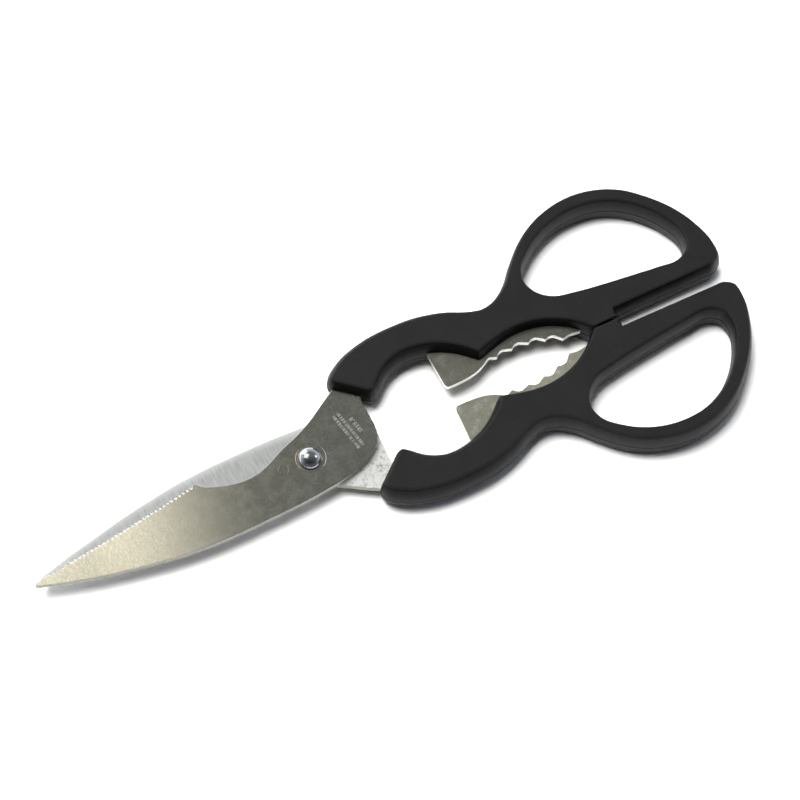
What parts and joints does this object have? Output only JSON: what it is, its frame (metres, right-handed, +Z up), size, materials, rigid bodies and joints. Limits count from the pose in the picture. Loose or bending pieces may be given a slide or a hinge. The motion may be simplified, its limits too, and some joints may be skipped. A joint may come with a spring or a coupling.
{
  "type": "poultry shears",
  "caption": "Kitchen and poultry shears with steel blades on a rivet, a bone notch, moulded loop handles, and a bottle opener and nutcracker between them.",
  "frame": {"origin": "centre of the bounding box in plan, on the surface that the handles lie on", "axes": "+X from the blades' tips to the finger loops, +Y towards the upper blade's handle, +Z up through the rivet's dome"},
  "size_m": [0.2226, 0.0836, 0.0125],
  "materials": {
    "blade_steel": "satin stainless steel, brushed",
    "handle_plastic": "fine-grained black on the faces, smooth on the walls",
    "rivet_steel": "polished dome",
    "washer_steel": "plain satin"
  },
  "bodies": {
    "lower_half": {"lower_blade": "blade_steel", "lower_handle": "handle_plastic", "pivot_rivet": "rivet_steel", "back_washer": "washer_steel"},
    "upper_half": {"upper_blade": "blade_steel", "upper_handle": "handle_plastic"}
  },
  "joints": [
    {"name": "pivot", "type": "hinge", "parent": "lower_half", "child": "upper_half", "pos_m": [-0.02477, 0, 0.00625], "axis": [0, 0, 1], "range_deg": [0, 95]}
  ]
}
